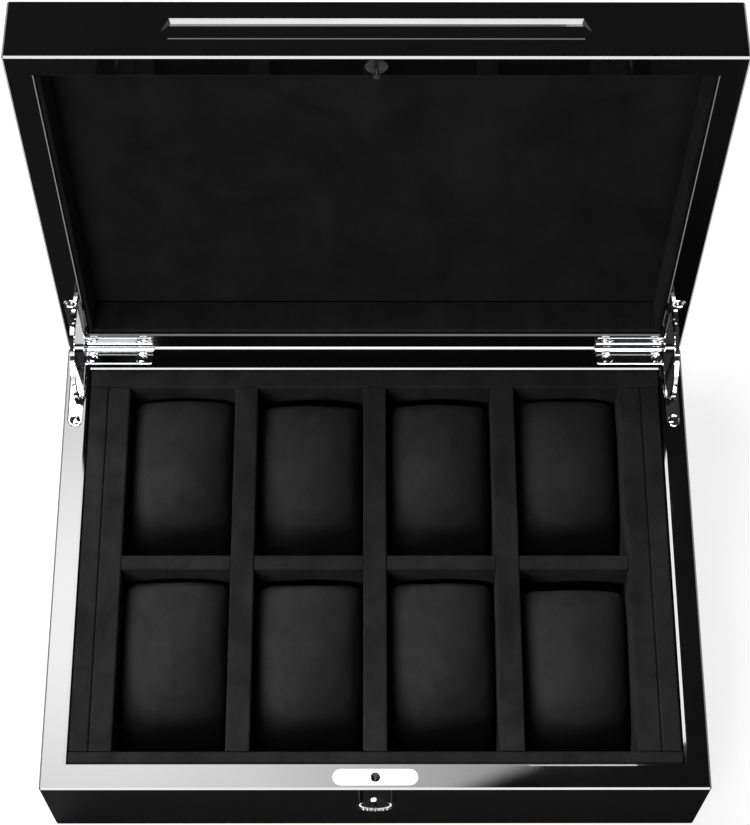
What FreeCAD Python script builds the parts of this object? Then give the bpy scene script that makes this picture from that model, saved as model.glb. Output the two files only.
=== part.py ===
import FreeCAD, Part
import os
import re

import Sketcher
from FreeCAD import Placement, Rotation, Vector

# Watch box for eight watches: a lacquered base box with a velvet tray, a lacquered lid on two stay hinges,
# and a lock in the front wall. The lid stands open on its stays.
# Frame: X to the right, Y to the back, Z up, origin at the middle of the underside. Millimetres and degrees.

doc = FreeCAD.newDocument("watch_box")
sheet = doc.addObject("Spreadsheet::Sheet", "Sizes")

SIZES = [
    ("outer_width", 340.0, "box from side to side"),
    ("outer_depth", 250.0, "box from front to back"),
    ("base_height", 70.0, "underside to the base rim, with the felt"),
    ("lid_height", 33.6, "lid rim to the lid's top"),
    ("rim_gap", 0.4, "slit between the closed rims"),
    ("wall", 13.0, "wall boards"),
    ("edge_bevel", 0.9, "bevel of the outer edges"),
    ("inner_bevel", 0.8, "steep bevel of the rims' inner edges, at the back and at the lid's front"),
    ("side_bevel_width", 1.5, "shallow bevel inside the base's side rims"),
    ("side_bevel_slope", 2.5, "its angle to the rim"),
    ("front_bevel_width", 0.9, "shallow bevel inside the base's front rim"),
    ("front_bevel_slope", 7.0, "its angle to the rim"),
    ("lid_line_width", 0.8, "line sunk along the inner edges of the lid's side rims"),
    ("lid_line_slope", 18.0, "angle of that line's bottom to the rim"),
    ("open_angle", 94.5, "lid's angle from closed to its stop"),
    ("floor_thickness", 8.0, "floor board"),
    ("felt_thickness", 1.0, "felt under the box"),
    ("felt_margin", 4.0, "felt's edge to the box's side"),
    ("lid_top_thickness", 9.0, "top board of the lid"),
    ("lid_pad_thickness", 4.6, "padded panel inside the lid"),
    ("lid_lining", 2.5, "lining strips inside the lid"),
    ("lining_drop", 1.5, "rim to the top of the linings"),
    ("front_lining", 7.3, "lining board inside the front wall"),
    ("back_lining", 10.5, "lining board inside the back wall"),
    ("side_lining", 10.5, "lining boards inside the side walls"),
    ("lining_gap", 0.5, "walls to the lining boards at the front and sides"),
    ("seam_gap", 0.2, "seams between velvet pieces"),
    ("velvet_round", 1.2, "soft top edges of the velvet boards"),
    ("tray_floor", 2.5, "tray floor board"),
    ("tray_end", 11.8, "tray's end boards"),
    ("divider", 12.5, "dividers from front to back"),
    ("cross_divider", 8.0, "short dividers across"),
    ("pillow_side_gap", 0.4, "pillow's ends to the dividers"),
    ("pillow_waist", 0.4, "how far a pillow's sides are drawn in"),
    ("pillow_play", 6.5, "room before and behind a pillow together"),
    ("pillow_lift", 0.3, "pillow above the tray floor"),
    ("pillow_crown", 52.0, "pillow's greatest height"),
    ("pillow_back_height", 46.0, "pillow's height at its back end"),
    ("pillow_front_height", 15.0, "pillow's height at its front end"),
    ("pillow_arch", 55.0, "radius of a pillow's crown across its width"),
    ("pillow_shoulder", 8.0, "rounded shoulders of a pillow"),
    ("leaf_thickness", 1.8, "hinge leaf plates"),
    ("leaf_flush", 0.1, "leaf plates below the rim"),
    ("leaf_bevel", 0.8, "bevel of the leaf plates"),
    ("leaf_corner", 2.0, "round corner at the end of the leaf plates"),
    ("leaf_margin", 2.2, "side of the box to the leaf plates"),
    ("leaf_length", 45.5, "leaf plates along the back rim"),
    ("leaf_reach", 10.2, "hinge axis to the leaf's front edge"),
    ("leg_width", 8.4, "leaf's leg along the side rim"),
    ("leg_screw", 44.0, "hinge axis to the leg's screw"),
    ("inlay_gap", 0.1, "room around inlaid metal"),
    ("knuckle_diameter", 4.4, "hinge knuckles"),
    ("knuckle_gap", 0.3, "room round the knuckles"),
    ("knuckle_slit", 0.2, "slit between two knuckles"),
    ("knuckle_margin", 8.7, "side of the box to the knuckles"),
    ("knuckle_length", 39.0, "all three knuckles together"),
    ("knuckle_middle", 19.5, "base leaf's knuckle"),
    ("pin_diameter", 2.0, "hinge pin"),
    ("pin_fit", 0.04, "running fit round the pin"),
    ("stay_radius", 30.0, "hinge axis to the middle of the stay arm"),
    ("stay_width", 4.0, "stay arm, radially"),
    ("stay_thickness", 2.0, "stay arm, from side to side"),
    ("stay_slot_gap", 0.4, "room round the stay arm in its slots"),
    ("stay_pocket_gap", 0.8, "room round the stay arm in its pockets"),
    ("stay_pin_diameter", 2.4, "cross pins at the arm's ends"),
    ("stay_pin_length", 4.4, "cross pins, from side to side"),
    ("stay_end", 1.8, "arm beyond the middle of a cross pin"),
    ("stay_stop_gap", 0.25, "cross pin to the leaf at the stop"),
    ("screw_head", 5.2, "screw heads"),
    ("screw_head_depth", 1.3, "cone of the screw heads"),
    ("screw_sink", 0.4, "plate's face down to the rim of the screw heads"),
    ("screw_dome", 0.4, "rise of the domed screw heads"),
    ("screw_shank", 2.4, "screw shanks"),
    ("screw_length", 9.0, "screw head to the start of the tip"),
    ("screw_tip", 2.0, "pointed tips"),
    ("screw_gap", 0.05, "room round the screws"),
    ("screw_cross_width", 0.7, "bars of the cross recess, across"),
    ("screw_cross_length", 2.8, "bars of the cross recess, along"),
    ("screw_cross_depth", 0.8, "depth of the cross recess"),
    ("hinge_screw_first", 13.5, "side of the box to the first leaf screw"),
    ("hinge_screw_second", 41.0, "side of the box to the second leaf screw"),
    ("hinge_screw_reach", 6.4, "hinge axis to the two leaf screws"),
    ("lock_inset", 6.4, "front of the box to the lock's middle"),
    ("lock_plate_length", 43.0, "lock plate on the rim"),
    ("lock_plate_width", 8.2, "lock plate across the rim"),
    ("lock_plate_thickness", 1.5, "lock plate"),
    ("lock_hole", 5.2, "hole for the catch stud"),
    ("rivet_spread", 33.5, "lock plate's rivets apart"),
    ("lock_case_length", 25.0, "lock case from side to side"),
    ("lock_case_width", 8.0, "lock case from front to back"),
    ("lock_case_height", 28.0, "lock case from the plate down"),
    ("lock_case_wall", 1.0, "sheet of the lock case"),
    ("key_height", 10.6, "lock case's bottom to the key plug"),
    ("plug_diameter", 8.0, "key plug"),
    ("plug_fit", 0.05, "running fit round the plug"),
    ("key_slot_length", 5.0, "slot for the key"),
    ("key_slot_width", 1.3, "slot for the key"),
    ("key_slot_depth", 5.0, "slot for the key"),
    ("key_turn", 90.0, "key's turn from unlocked to locked"),
    ("cam_radius", 3.0, "plug's middle to its cam pin"),
    ("cam_diameter", 1.8, "cam pin"),
    ("cam_gap", 0.35, "room round the cam pin in the bolt"),
    ("bolt_thickness", 1.6, "sliding bolt"),
    ("bolt_gap", 0.3, "room round the bolt"),
    ("bolt_tail_thickness", 1.0, "tail that the cam pin moves"),
    ("bolt_tail_width", 11.0, "tail from side to side"),
    ("front_plate_diameter", 20.6, "round plate on the front"),
    ("front_plate_thickness", 3.7, "round plate's height off the front"),
    ("front_plate_sleeve", 1.4, "wall of its sleeve round the plug"),
    ("front_plate_rim", 0.9, "raised rim of the round plate"),
    ("front_plate_dish", 0.8, "depth inside that rim"),
    ("stud_flange", 10.4, "catch stud's flange"),
    ("stud_flange_thickness", 1.2, "catch stud's flange"),
    ("stud_neck", 2.0, "catch stud's neck"),
    ("stud_neck_length", 4.2, "lid rim to the stud's head"),
    ("stud_head", 3.2, "catch stud's head"),
    ("stud_head_length", 1.8, "catch stud's head"),
    ("stud_shank", 3.0, "catch stud's shank in the lid"),
    ("stud_shank_length", 9.0, "catch stud's shank in the lid"),
    ("stud_gap", 0.3, "room round the stud's neck in the bolt"),
    ("stud_head_gap", 0.65, "room round the stud's head in the bolt"),
    ("groove_half_length", 95.0, "middle to the ends of the groove's long edges"),
    ("groove_inset", 0.7, "groove's bottom line short of those ends"),
    ("groove_point", 3.4, "pointed ends beyond the long edges"),
    ("groove_low", 11.0, "lid rim to the groove's lower edge"),
    ("groove_point_height", 15.0, "lid rim to the groove's points"),
    ("groove_high", 22.9, "lid rim to the groove's upper edge"),
    ("groove_depth", 2.0, "finger groove"),
    ("groove_slant", 1.6, "upper edge to the groove's bottom, in height"),
    ("groove_lip", 0.35, "bevel along the groove's lower edge, to either side of it"),
    ("groove_lip_slope", 5.7, "that bevel's angle to the lid's front"),
    ("cut_over", 5.0, "tools beyond the faces they cut"),
]
for row, (alias, number, meaning) in enumerate(SIZES, start=1):
    sheet.set("A%d" % row, meaning)
    sheet.set("B%d" % row, str(number))
    sheet.setAlias("B%d" % row, alias)
doc.recompute()
ALIASES = {alias for alias, number, meaning in SIZES}


def from_sheet(text):
    """An expression on the sheet's cells, from one that names only their aliases."""
    return re.sub(r"[a-z_]+", lambda word: ("Sizes." if word[0] in ALIASES else "") + word[0], text)


def value(text):
    """An expression's number, in millimetres or degrees."""
    return float(sheet.evalExpression(from_sheet(text)))


def bind(item, **expressions):
    """Ties properties of an object to the sheet; a double underscore in a name stands for a dot."""
    for name, text in expressions.items():
        item.setExpression(name.replace("__", "."), from_sheet(text))


# Planes and places that several pieces share

HALF_X = "outer_width / 2"
HALF_Y = "outer_depth / 2"
IN_X = "(outer_width / 2 - wall)"
IN_Y = "(outer_depth / 2 - wall)"
FLOOR_TOP = "(felt_thickness + floor_thickness)"
TRAY_TOP = "(felt_thickness + floor_thickness + tray_floor)"
LINING_TOP = "(base_height - lining_drop)"
LID_RIM = "(base_height + rim_gap)"
LID_TOP = "(base_height + rim_gap + lid_height)"
LID_BOARD = f"({LID_TOP} - lid_top_thickness)"
LID_PAD = f"({LID_BOARD} - lid_pad_thickness)"
AXIS_Z = "(base_height + rim_gap / 2)"
LINING_X = f"({IN_X} - side_lining)"
TRAY_X = f"({LINING_X} - seam_gap)"
CELL_BACK = f"({IN_Y} - back_lining)"
CELL_FRONT = f"(front_lining - {IN_Y})"
CELL_WIDTH = f"((2 * {TRAY_X} - 2 * tray_end - 3 * divider) / 4)"
CELL_DEPTH = f"(({CELL_BACK} - {CELL_FRONT} - cross_divider) / 2)"
LEAF_X = "(outer_width / 2 - leaf_margin)"
LEAF_START = "(knuckle_diameter / 2 + knuckle_gap)"
LEAF_TOP = "(base_height - leaf_flush)"
LEAF_BOTTOM = f"({LEAF_TOP} - leaf_thickness)"
LEG_X = f"({LEAF_X} - leg_width / 2)"
LOCK_Y = "(lock_inset - outer_depth / 2)"
LOCK_PLATE_BOTTOM = "(base_height - leaf_flush - lock_plate_thickness)"
CASE_BOTTOM = f"({LOCK_PLATE_BOTTOM} - lock_case_height)"
KEY_Z = f"({CASE_BOTTOM} + key_height)"
BOLT_TOP = f"({LOCK_PLATE_BOTTOM} - bolt_gap)"
BOLT_BOTTOM = f"({BOLT_TOP} - bolt_thickness)"
TAIL_BACK = f"({LOCK_Y} + lock_case_width / 2 - lock_case_wall - bolt_gap)"
TAIL_FRONT = f"({TAIL_BACK} - bolt_tail_thickness)"
CAM_SIDE = "(cam_radius * sin(key_turn / 2))"
CAM_DROP = "(cam_radius * cos(key_turn / 2))"

ALONG_X = Rotation(Vector(0, 1, 0), 90)
ALONG_Y = Rotation(Vector(1, 0, 0), -90)

# The lid's pieces are drawn as they lie on the closed box and turned open about the hinge axis.
HINGE_AXIS = Vector(0, value(HALF_Y), value(AXIS_Z))
LID_OPEN = Placement(Vector(), Rotation(Vector(1, 0, 0), -value("open_angle")), HINGE_AXIS)

pieces = []


def keep(item, label, placement=None):
    """Registers a finished sub-part under its own label, where it belongs."""
    item.Label = label
    if placement is not None:
        item.Placement = placement
    pieces.append(item)
    return item


# Simple shapes, each bound to the sheet

def box(name, x, y, z):
    """A block between two expressions along each axis."""
    item = doc.addObject("Part::Box", name)
    bind(item, Length=f"{x[1]} - ({x[0]})", Width=f"{y[1]} - ({y[0]})", Height=f"{z[1]} - ({z[0]})")
    bind(item, Placement__Base__x=x[0], Placement__Base__y=y[0], Placement__Base__z=z[0])
    return item


def at(item, x, y, z, turn=None):
    """Puts a shape's reference point at three expressions, turned if need be."""
    if turn is not None:
        item.Placement = Placement(Vector(), turn)
    bind(item, Placement__Base__x=x, Placement__Base__y=y, Placement__Base__z=z)
    return item


def cylinder(name, radius, length, x, y, z, turn=None):
    item = doc.addObject("Part::Cylinder", name)
    bind(item, Radius=radius, Height=length)
    return at(item, x, y, z, turn)


def cone(name, low_radius, high_radius, length, x, y, z):
    item = doc.addObject("Part::Cone", name)
    bind(item, Radius1=low_radius, Radius2=high_radius, Height=length)
    return at(item, x, y, z)


def sector(name, radius, length, x, start, sweep):
    """A slice of a cylinder about the hinge axis, from an angle above the rim plane's front downwards."""
    turn = ALONG_X * Rotation(Vector(0, 0, 1), -90 - value(start))
    item = cylinder(name, radius, length, x, HALF_Y, AXIS_Z, turn)
    bind(item, Angle=sweep)
    return item


def fuse(name, shapes):
    item = doc.addObject("Part::MultiFuse", name)
    item.Shapes = shapes
    return item


def cut(name, base, tool):
    item = doc.addObject("Part::Cut", name)
    item.Base = base
    item.Tool = tool
    return item


def cut_all(name, base, tools):
    return cut(name, base, fuse(name + "_tools", tools))


def mirror_side(name, source):
    """The same shape on the box's other side."""
    item = doc.addObject("Part::Mirroring", name)
    item.Source = source
    item.Normal = (1, 0, 0)
    return item


def mirror_up(name, source):
    """The same shape on the closed lid's side of the rim."""
    item = doc.addObject("Part::Mirroring", name)
    item.Source = source
    item.Normal = (0, 0, 1)
    bind(item, Base__z=AXIS_Z)
    return item


def block_body(name, x, y, z):
    """A body that starts as a plain block."""
    body = doc.addObject("PartDesign::Body", name)
    block = body.newObject("PartDesign::AdditiveBox", name + "_block")
    bind(block, Length=f"{x[1]} - ({x[0]})", Width=f"{y[1]} - ({y[0]})", Height=f"{z[1]} - ({z[0]})")
    bind(block, Placement__Base__x=x[0], Placement__Base__y=y[0], Placement__Base__z=z[0])
    doc.recompute()
    return body


def ease_edges(body, kind, size, wanted):
    """Rounds (Fillet) or bevels (Chamfer) the edges of a body whose middle point passes a test."""
    base = body.Tip
    names = []
    for number, edge in enumerate(base.Shape.Edges, start=1):
        if wanted(edge.CenterOfMass):
            names.append("Edge%d" % number)
    eased = body.newObject("PartDesign::" + kind, f"{body.Name}_{size}")
    eased.Base = (base, names)
    bind(eased, **{"Radius" if kind == "Fillet" else "Size": size})
    doc.recompute()


SAME_PLACE = 1e-6


def near(first, second):
    return abs(first - second) < SAME_PLACE


def velvet_board(label, x, y, z, round_x, round_y, placement=None, shown="up"):
    """A board wrapped in velvet, with soft edges along X or Y on the face that shows."""
    body = block_body(label, x, y, z)
    bounds = body.Shape.BoundBox
    height = bounds.ZMax if shown == "up" else bounds.ZMin
    middle = bounds.Center

    def soft(point):
        return near(point.z, height) and ((round_x and near(point.x, middle.x))
                                          or (round_y and near(point.y, middle.y)))

    ease_edges(body, "Fillet", "velvet_round", soft)
    return keep(body, label, placement)


# Lacquered walls: a frame with beveled edges, parted at its mitres

def wall_frame(name, low, high, rim_is_high):
    frame = block_body(name, (f"-{HALF_X}", HALF_X), (f"-{HALF_Y}", HALF_Y), (low, high))
    hollow = frame.newObject("PartDesign::SubtractiveBox", name + "_hollow")
    bind(hollow, Length=f"2 * {IN_X}", Width=f"2 * {IN_Y}", Height=f"{high} - ({low})")
    bind(hollow, Placement__Base__x=f"-{IN_X}", Placement__Base__y=f"-{IN_Y}", Placement__Base__z=low)
    doc.recompute()
    bounds = frame.Shape.BoundBox
    rim = bounds.ZMax if rim_is_high else bounds.ZMin
    wall = value("wall")

    def on_outside(point):
        return near(abs(point.x), bounds.XMax) or near(abs(point.y), bounds.YMax)

    def on_inner_rim(point):
        inner_y = point.y if rim_is_high else abs(point.y)
        return near(point.z, rim) and near(inner_y, bounds.YMax - wall)

    ease_edges(frame, "Chamfer", "edge_bevel", on_outside)
    ease_edges(frame, "Chamfer", "inner_bevel", on_inner_rim)
    return frame


def mitred_wall(name, frame, half_run, half_across, low, high, turn):
    """One board of a wall frame: as wide as the frame outside, and narrower by its own thickness inside."""
    wedge = doc.addObject("Part::Wedge", name + "_wedge")
    bind(wedge, Xmin=f"-{half_run}", Xmax=half_run, X2min=f"wall - {half_run}", X2max=f"{half_run} - wall")
    bind(wedge, Ymin=f"-{half_across}", Ymax=f"wall - {half_across}")
    bind(wedge, Zmin=low, Zmax=high, Z2min=low, Z2max=high)
    wedge.Placement = Placement(Vector(), Rotation(Vector(0, 0, 1), turn))
    board = doc.addObject("Part::Common", name + "_board")
    board.Base = frame
    board.Tool = wedge
    return board


base_frame = wall_frame("base_frame", "felt_thickness", "base_height", True)
lid_frame = wall_frame("lid_frame", LID_RIM, LID_TOP, False)
BASE_SPAN = ("felt_thickness", "base_height")
LID_SPAN = (LID_RIM, LID_TOP)

# Stay hinges: an L-shaped leaf let into each rim, a curved arm that slides through a slot in both legs,
# and cross pins at the arm's ends that stop the lid. The left hinge is drawn, the right one mirrors it.

LEAF_SCREWS = [
    (f"hinge_screw_first - {HALF_X}", f"{HALF_Y} - hinge_screw_reach"),
    (f"hinge_screw_second - {HALF_X}", f"{HALF_Y} - hinge_screw_reach"),
    (f"-{LEG_X}", f"{HALF_Y} - leg_screw"),
]
KNUCKLE_START = f"(knuckle_margin - {HALF_X})"
KNUCKLE_END = f"(knuckle_margin + knuckle_length - {HALF_X})"
MIDDLE_START = f"(knuckle_margin + (knuckle_length - knuckle_middle) / 2 - {HALF_X})"
MIDDLE_END = f"({MIDDLE_START} + knuckle_middle)"


def sunk_holes(name, places, top, plate, depth_of_head):
    """Countersunk holes through a plate, and the holes for the shanks below it."""
    tools = []
    shank = "screw_shank / 2 + screw_gap"
    slope = "(screw_head - screw_shank) / (2 * screw_head_depth)"
    mouth = f"screw_head / 2 + screw_gap + {depth_of_head} * {slope}"
    sink = f"(screw_head_depth + {depth_of_head} + screw_gap)"
    depth = f"({plate} + screw_length + screw_tip)"
    for number, (x, y) in enumerate(places, start=1):
        tools.append(cone(f"{name}_sink_{number}", shank, mouth, sink, x, y, f"{top} - {sink}"))
        tools.append(cylinder(f"{name}_hole_{number}", shank, depth, x, y, f"{top} - {depth}"))
    return tools


def leaf_outline(name, gap, top):
    """The L of a leaf, widened by a gap: back arm with one round corner, leg and the leg's round end."""
    arm = block_body(name + "_arm", (f"-{LEAF_X} - {gap}", f"leaf_length - {LEAF_X} + {gap}"),
                     (f"{HALF_Y} - leaf_reach - {gap}", f"{HALF_Y} - {LEAF_START} + {gap}"), (LEAF_BOTTOM, top))
    bounds = arm.Shape.BoundBox
    ease_edges(arm, "Fillet", f"leaf_corner + {gap}",
               lambda point: near(point.x, bounds.XMax) and near(point.y, bounds.YMin))
    leg = box(name + "_leg", (f"-{LEAF_X} - {gap}", f"leg_width - {LEAF_X} + {gap}"),
              (f"{HALF_Y} - leg_screw", f"{HALF_Y} - {LEAF_START} + {gap}"), (LEAF_BOTTOM, top))
    end = cylinder(name + "_end", f"leg_width / 2 + {gap}", f"{top} - {LEAF_BOTTOM}",
                   f"-{LEG_X}", f"{HALF_Y} - leg_screw", LEAF_BOTTOM)
    return [arm, leg, end]


def knuckle(name, start, end, radius):
    return cylinder(name, radius, f"{end} - ({start})", start, HALF_Y, AXIS_Z, ALONG_X)


def knuckle_web(name, start, end):
    """The strip that joins a knuckle to the leaf's plate."""
    return box(name, (start, end), (f"{HALF_Y} - {LEAF_START} - inlay_gap", HALF_Y), (LEAF_BOTTOM, LEAF_TOP))


plate_holes = sunk_holes("leaf", LEAF_SCREWS, LEAF_TOP, "leaf_thickness", "screw_sink")
stay_slot = box("leaf_slot", (f"-{LEG_X} - stay_thickness / 2 - stay_slot_gap",
                              f"stay_thickness / 2 + stay_slot_gap - {LEG_X}"),
                (f"{HALF_Y} - stay_radius - stay_width / 2 - stay_slot_gap",
                 f"{HALF_Y} - stay_radius + stay_width / 2 + stay_slot_gap"),
                (f"{LEAF_BOTTOM} - cut_over", f"{LEAF_TOP} + cut_over"))
leaf_solid = fuse("leaf_solid", leaf_outline("leaf", "0", LEAF_TOP))
leaf_solid.Refine = True
leaf_blank = doc.addObject("PartDesign::Body", "leaf_blank")
leaf_blank.BaseFeature = leaf_solid
doc.recompute()
leaf_back = value(f"{HALF_Y} - {LEAF_START}")
ease_edges(leaf_blank, "Chamfer", "leaf_bevel",
           lambda point: near(point.z, value(LEAF_TOP)) and not near(point.y, leaf_back))
leaf_plate = cut_all("leaf_plate", leaf_blank, plate_holes + [stay_slot])
leaf_plate_lid = mirror_up("leaf_plate_lid", leaf_plate)
pin_bore = knuckle("pin_bore", f"{KNUCKLE_START} - cut_over", f"{KNUCKLE_END} + cut_over",
                   "pin_diameter / 2 + pin_fit")

base_knuckle = [knuckle("base_knuckle", MIDDLE_START, MIDDLE_END, "knuckle_diameter / 2"),
                knuckle_web("base_web", MIDDLE_START, MIDDLE_END)]
base_leaf = cut("base_leaf", fuse("base_leaf_solid", [leaf_plate] + base_knuckle), pin_bore)

lid_knuckles = []
OUTER_SPANS = [(KNUCKLE_START, f"{MIDDLE_START} - knuckle_slit"),
               (f"{MIDDLE_END} + knuckle_slit", KNUCKLE_END)]
for number, (start, end) in enumerate(OUTER_SPANS, start=1):
    lid_knuckles.append(knuckle(f"lid_knuckle_{number}", start, end, "knuckle_diameter / 2"))
    lid_knuckles.append(mirror_up(f"lid_web_{number}", knuckle_web(f"lid_web_low_{number}", start, end)))
lid_leaf = cut("lid_leaf", fuse("lid_leaf_solid", [leaf_plate_lid] + lid_knuckles), pin_bore)

hinge_pin = knuckle("hinge_pin", KNUCKLE_START, KNUCKLE_END, "pin_diameter / 2")

# The arm reaches past both rims, by the depth of a leaf and its cross pin, when the lid stands at its stop.
STOP_DEPTH = "(rim_gap / 2 + leaf_flush + leaf_thickness + stay_stop_gap + stay_pin_diameter / 2)"
STOP_ANGLE = f"asin({STOP_DEPTH} / stay_radius)"
OVERLAP = f"({STOP_ANGLE} + stay_end / stay_radius * 180deg / pi)"
STAY_START = f"open_angle * 1deg + {OVERLAP}"
STAY_SWEEP = f"open_angle * 1deg + 2 * {OVERLAP}"
STAY_SIDE = f"(-{LEG_X} - stay_thickness / 2)"
stay_outside = sector("stay_outside", "stay_radius + stay_width / 2", "stay_thickness", STAY_SIDE,
                      STAY_START, STAY_SWEEP)
stay_inside = cylinder("stay_inside", "stay_radius - stay_width / 2", "stay_thickness",
                       STAY_SIDE, HALF_Y, AXIS_Z, ALONG_X)
stay_strip = cut("stay_strip", stay_outside, stay_inside)
stay_pins = []
for end, angle in (("base", f"-{STOP_ANGLE}"), ("lid", f"open_angle * 1deg + {STOP_ANGLE}")):
    reach = Rotation(Vector(1, 0, 0), -value(angle)).multVec(Vector(0, -value("stay_radius"), 0))
    pin = doc.addObject("Part::Cylinder", f"stay_pin_{end}")
    bind(pin, Radius="stay_pin_diameter / 2", Height="stay_pin_length")
    pin.Placement = Placement(HINGE_AXIS + reach, ALONG_X)
    bind(pin, Placement__Base__x=f"-{LEG_X} - stay_pin_length / 2")
    stay_pins.append(pin)
stay_arm = fuse("stay_arm", [stay_strip] + stay_pins)

# What the hinge takes out of the walls: the leaf's inlay, the room for the knuckles, and the arm's pocket,
# which is as deep as half the arm, because the closed arm lies half in the base and half in the lid.
POCKET_X = f"(-{LEG_X} - stay_pin_length / 2 - stay_slot_gap)"
POCKET_WIDTH = "stay_pin_length + 2 * stay_slot_gap"
POCKET_SWEEP = f"open_angle * 0.5deg + {OVERLAP} + stay_pocket_gap / stay_radius * 180deg / pi"
pocket_outside = sector("pocket_outside", "stay_radius + stay_width / 2 + stay_pocket_gap", POCKET_WIDTH,
                        POCKET_X, "0", POCKET_SWEEP)
pocket_inside = cylinder("pocket_inside", "stay_radius - stay_width / 2 - stay_pocket_gap", POCKET_WIDTH,
                         POCKET_X, HALF_Y, AXIS_Z, ALONG_X)
stay_pocket = cut("stay_pocket", pocket_outside, pocket_inside)
knuckle_room = knuckle("knuckle_room", f"{KNUCKLE_START} - knuckle_gap", f"{KNUCKLE_END} + knuckle_gap",
                       LEAF_START)
web_room = box("web_room", (f"{KNUCKLE_START} - knuckle_gap", f"{KNUCKLE_END} + knuckle_gap"),
               (f"{HALF_Y} - {LEAF_START} - inlay_gap", f"{HALF_Y} + cut_over"),
               (LEAF_BOTTOM, "base_height + cut_over"))
shank_holes = sunk_holes("shank", LEAF_SCREWS, LEAF_TOP, "leaf_thickness", "screw_sink")
hinge_tool = fuse("hinge_tool", leaf_outline("inlay", "inlay_gap", "base_height + cut_over")
                  + [stay_pocket, knuckle_room, web_room] + shank_holes)
hinge_tool_right = mirror_side("hinge_tool_right", hinge_tool)
hinge_tool_lid = mirror_up("hinge_tool_lid", hinge_tool)
hinge_tool_lid_right = mirror_side("hinge_tool_lid_right", hinge_tool_lid)

# Screws: a domed countersunk head with a cross recess, a plain shank and a point

def screw(name):
    """One screw with a domed head, sunk so that the origin is in the plate's face."""
    rim = "-screw_sink"
    head = cone(name + "_head", "screw_shank / 2", "screw_head / 2", "screw_head_depth",
                "0", "0", f"{rim} - screw_head_depth")
    ball = "(((screw_head / 2)^2 + screw_dome^2) / (2 * screw_dome))"
    dome = doc.addObject("Part::Sphere", name + "_dome")
    bind(dome, Radius=ball, Angle1=f"acos(screw_head / 2 / {ball})")
    at(dome, "0", "0", f"{rim} + screw_dome - {ball}")
    shank = cylinder(name + "_shank", "screw_shank / 2", f"screw_length + {rim} - screw_head_depth",
                     "0", "0", "-screw_length")
    tip = cone(name + "_tip", "0", "screw_shank / 2", "screw_tip", "0", "0", "-screw_length - screw_tip")
    recess = (f"{rim} + screw_dome - screw_cross_depth", "cut_over")
    bars = [box(name + "_bar_long", ("-screw_cross_length / 2", "screw_cross_length / 2"),
                ("-screw_cross_width / 2", "screw_cross_width / 2"), recess),
            box(name + "_bar_wide", ("-screw_cross_width / 2", "screw_cross_width / 2"),
                ("-screw_cross_length / 2", "screw_cross_length / 2"), recess)]
    return cut_all(name, fuse(name + "_solid", [head, dome, shank, tip]), bars)


wood_screw = screw("wood_screw")


def fastener_group(name, fastener, places, top):
    """Copies of a screw or rivet with their heads at one height, as one group."""
    copies = []
    for number, (x, y) in enumerate(places, start=1):
        copy = doc.addObject("App::Link", f"{name}_{number}")
        copy.LinkedObject = fastener
        copies.append(at(copy, x, y, top))
    group = doc.addObject("Part::Compound", name)
    group.Links = copies
    return group


leaf_screws = fastener_group("leaf_screws", wood_screw, LEAF_SCREWS, LEAF_TOP)
leaf_screws_lid = mirror_up("leaf_screws_lid", leaf_screws)

for left, label, placement in (
        (base_leaf, "hinge_base_leaf", None), (hinge_pin, "hinge_pin", None), (stay_arm, "stay_arm", None),
        (leaf_screws, "hinge_base_screws", None), (lid_leaf, "hinge_lid_leaf", LID_OPEN),
        (leaf_screws_lid, "hinge_lid_screws", LID_OPEN)):
    keep(left, "left_" + label, placement)
    keep(mirror_side("right_" + label, left), "right_" + label)

# Lock: a plate on the rim, a case below it, a bolt whose keyhole-shaped slot closes round the stud's neck,
# and a plug whose cam pin swings as far to one side as to the other and takes the bolt's tail along.

RIVETS = [("-rivet_spread / 2", LOCK_Y), ("rivet_spread / 2", LOCK_Y)]


def stadium(name, length, width, low, high):
    """A plate with round ends on the lock's middle line."""
    reach = f"({length} - {width}) / 2"
    middle = box(name + "_middle", (f"-{reach}", reach),
                 (f"{LOCK_Y} - {width} / 2", f"{LOCK_Y} + {width} / 2"), (low, high))
    ends = [cylinder(f"{name}_end_{side}", f"{width} / 2", f"{high} - ({low})", f"{sign}{reach}", LOCK_Y, low)
            for side, sign in (("left", "-"), ("right", ""))]
    return fuse(name, [middle] + ends)


stud_hole = cylinder("stud_hole", "lock_hole / 2", "lock_plate_thickness + 2 * cut_over",
                     "0", LOCK_Y, f"{LOCK_PLATE_BOTTOM} - cut_over")
lock_plate_solid = stadium("lock_plate_solid", "lock_plate_length", "lock_plate_width",
                           LOCK_PLATE_BOTTOM, LEAF_TOP)
lock_plate_holes = sunk_holes("lock_plate", RIVETS, LEAF_TOP, "lock_plate_thickness", "0")
keep(cut_all("lock_plate", lock_plate_solid, lock_plate_holes + [stud_hole]), "lock_plate")
rivet = fuse("rivet", [
    cone("rivet_head", "screw_shank / 2", "screw_head / 2", "screw_head_depth", "0", "0", "-screw_head_depth"),
    cylinder("rivet_shank", "screw_shank / 2", "screw_length - screw_head_depth", "0", "0", "-screw_length")])
keep(fastener_group("lock_rivets", rivet, RIVETS, LEAF_TOP), "lock_rivets")

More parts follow.
